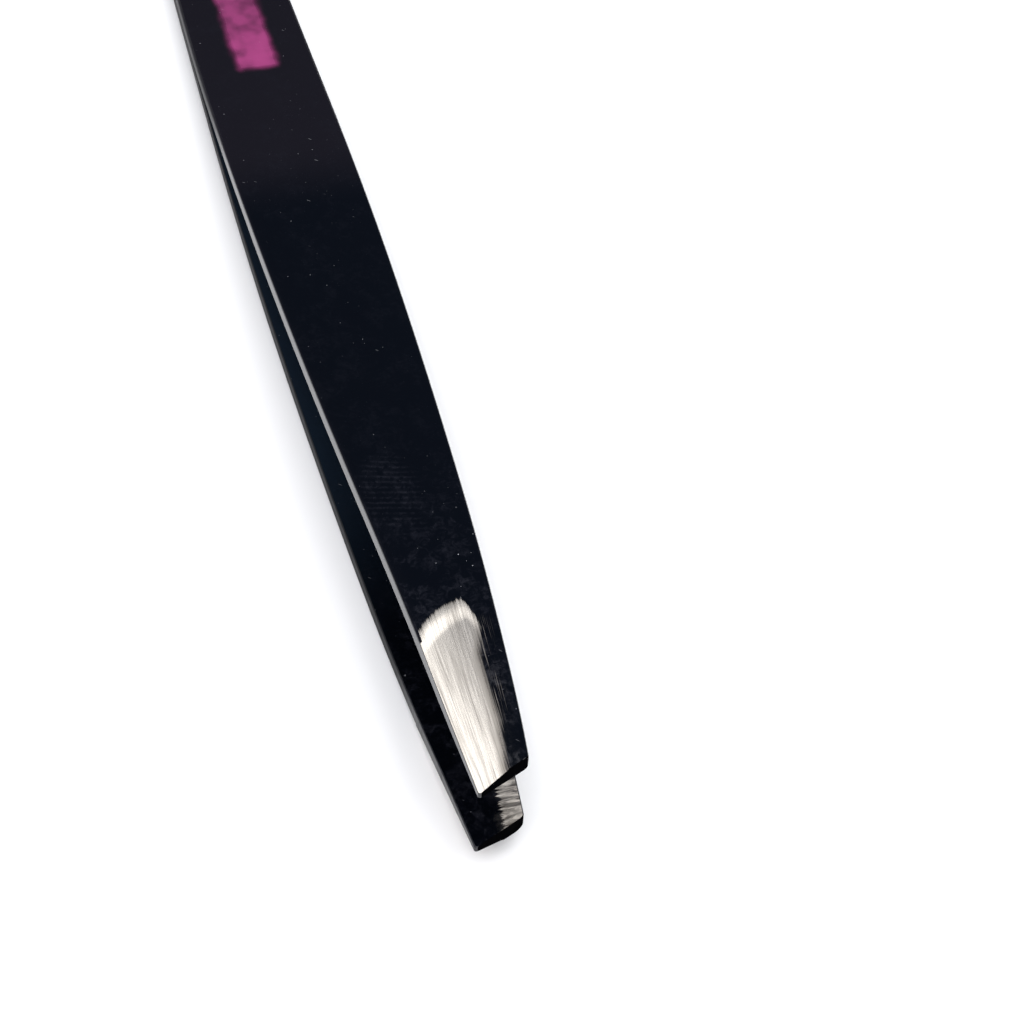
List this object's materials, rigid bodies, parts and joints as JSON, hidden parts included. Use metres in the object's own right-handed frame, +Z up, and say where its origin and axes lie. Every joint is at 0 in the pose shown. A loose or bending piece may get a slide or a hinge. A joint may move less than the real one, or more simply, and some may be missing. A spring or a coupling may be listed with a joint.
{
  "type": "slant tweezers",
  "caption": "Black-coated spring-steel slant tweezers: two bowed arms welded at a round heel, with bare ground facets and gripping pads at slanted tips.",
  "frame": {"origin": "centre of the bounding box, at the table that the tweezers lie on", "axes": "+X from the heel to the tips, +Y across the arms towards the short side of the slant, +Z up; the heel and the lower arm's belly both touch Z = 0, so the middle plane between the arms rises 2.8 degrees towards the tips"},
  "size_m": [0.0952, 0.0094, 0.0098],
  "materials": {
    "upper_arm_coat": "glossy black coat on steel, ground to bare metal on the facet and the gripping pad",
    "lower_arm_coat": "glossy black coat on steel, ground to bare metal on the facet and the gripping pad",
    "weld_steel": "fused bare steel"
  },
  "bodies": {
    "root": {"upper_heel": "upper_arm_coat", "lower_heel": "lower_arm_coat", "weld_nugget_fore": "weld_steel", "weld_nugget_aft": "weld_steel"},
    "upper_arm": {"upper_blade": "upper_arm_coat"},
    "lower_arm": {"lower_blade": "lower_arm_coat"}
  },
  "joints": [
    {"name": "upper_arm_flex", "type": "hinge", "parent": "root", "child": "upper_arm", "pos_m": [-0.02889, 0, 0.00262], "axis": [0, 1, 0], "range_deg": [0, 1.99], "stiffness_Nm_per_rad": 3},
    {"name": "lower_arm_flex", "type": "hinge", "parent": "root", "child": "lower_arm", "pos_m": [-0.02883, 0, 0.00137], "axis": [0, -1, 0], "range_deg": [0, 1.99], "stiffness_Nm_per_rad": 3}
  ],
  "couplings": [
    {"joint": "lower_arm_flex", "follows": "upper_arm_flex", "ratio": 1}
  ]
}
